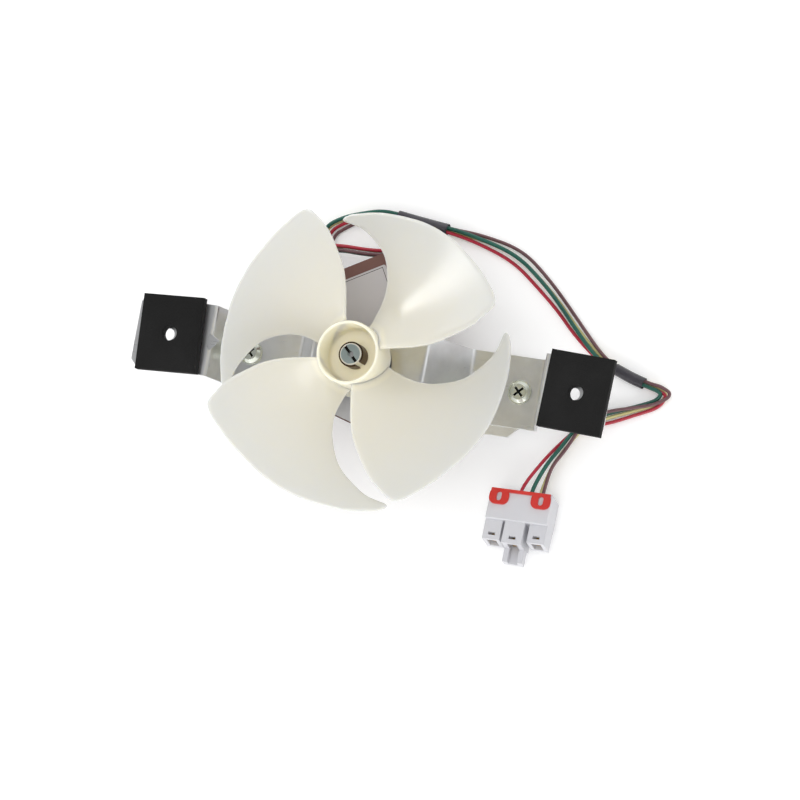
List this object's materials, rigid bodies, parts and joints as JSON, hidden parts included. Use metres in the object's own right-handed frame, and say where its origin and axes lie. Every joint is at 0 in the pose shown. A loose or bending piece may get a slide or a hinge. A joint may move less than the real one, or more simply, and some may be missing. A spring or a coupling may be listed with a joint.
{
  "type": "refrigerator fan",
  "caption": "Evaporator fan for a refrigerator: ivory propeller on a small motor held between bent steel brackets with foam pads, wired to a white plug.",
  "frame": {"origin": "On the shaft axis, in the plane of the rear bracket's back face", "axes": "+Z to the front along the shaft, +X along the long bracket to the right, +Y up across it"},
  "size_m": [0.1987, 0.1252, 0.06],
  "materials": {
    "strip_steel": "satin",
    "rear_steel": "satin",
    "screw_zinc": "satin",
    "foam": "matt",
    "cushion_rubber": "matt",
    "housing_brown": "matt",
    "cover_steel": "satin",
    "label_silver": "satin",
    "grommet_dark": "matt",
    "core_iron": "satin",
    "coil_copper": "satin",
    "spool_plastic": "matt",
    "board_green": "matt",
    "bearing_bronze": "satin",
    "shaft_steel": "bright",
    "magnet_black": "matt",
    "fan_ivory": "satin",
    "clip_brown": "satin",
    "disc_steel": "satin",
    "wire_red": "satin",
    "wire_green": "satin",
    "wire_yellow": "satin",
    "wire_brown": "satin",
    "sleeve_clear": "gloss",
    "plug_white": "satin",
    "plug_red": "satin",
    "terminal_brass": "bright"
  },
  "bodies": {
    "frame": {"front_bracket": "strip_steel", "rear_bracket": "rear_steel", "bracket_screws": "screw_zinc", "left_pad": "foam", "right_pad": "foam", "front_cushion": "cushion_rubber", "rear_cushion": "cushion_rubber", "motor_housing": "housing_brown", "motor_front_cover": "cover_steel", "motor_rear_cover": "cover_steel", "stator_core": "core_iron", "stator_coils": "coil_copper", "stator_insulator": "spool_plastic", "circuit_board": "board_green", "front_bearing": "bearing_bronze", "rear_bearing": "bearing_bronze", "motor_label": "label_silver", "wire_grommet": "grommet_dark", "connector_housing": "plug_white", "connector_retainer": "plug_red", "connector_terminals": "terminal_brass", "harness_sleeve_upper": "sleeve_clear", "harness_sleeve_lower": "sleeve_clear", "wire_red": "wire_red", "wire_green": "wire_green", "wire_yellow": "wire_yellow", "wire_brown": "wire_brown"},
    "rotor": {"impeller": "fan_ivory", "hub_spring_clip": "clip_brown", "hub_disc": "disc_steel", "motor_shaft": "shaft_steel", "rotor_magnet": "magnet_black", "rotor_sleeve": "bearing_bronze", "thrust_washers": "spool_plastic"}
  },
  "joints": [
    {"name": "spin", "type": "hinge", "parent": "frame", "child": "rotor", "pos_m": [0, 0, 0.049], "axis": [0, 0, 1], "continuous": true}
  ]
}
